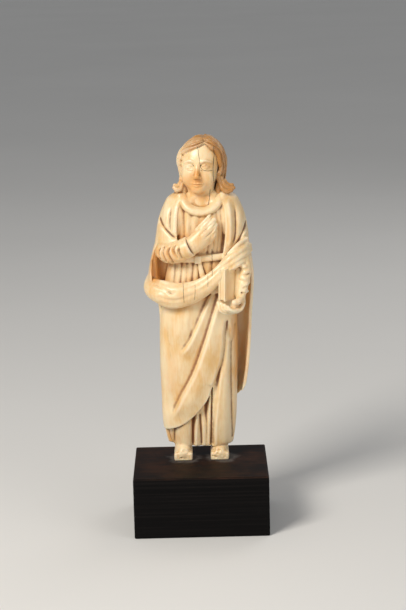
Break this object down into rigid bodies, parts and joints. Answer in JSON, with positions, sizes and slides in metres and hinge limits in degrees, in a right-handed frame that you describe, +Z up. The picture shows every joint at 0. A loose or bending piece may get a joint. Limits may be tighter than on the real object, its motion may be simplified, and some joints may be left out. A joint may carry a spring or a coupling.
{
  "type": "carved saint figure",
  "caption": "Standing robed saint carved in ivory, one hand on the breast and a closed book in the other, with a cloak wrapped across the waist, on a black rectangular plinth",
  "frame": {"origin": "middle of the plinth's underside", "axes": "+Z up, the figure's front faces -Y, +X is to its left hand"},
  "size_m": [0.0616, 0.052, 0.1787],
  "materials": {
    "ivory": "hand-polished ivory, cream on the raised parts and ochre to brown in the hollows, with fine upright age cracks",
    "black_wood": "black-stained wood with a low sheen, browner where the top is worn"
  },
  "bodies": {
    "root": {"figure": "ivory", "plinth": "black_wood"}
  },
  "joints": []
}
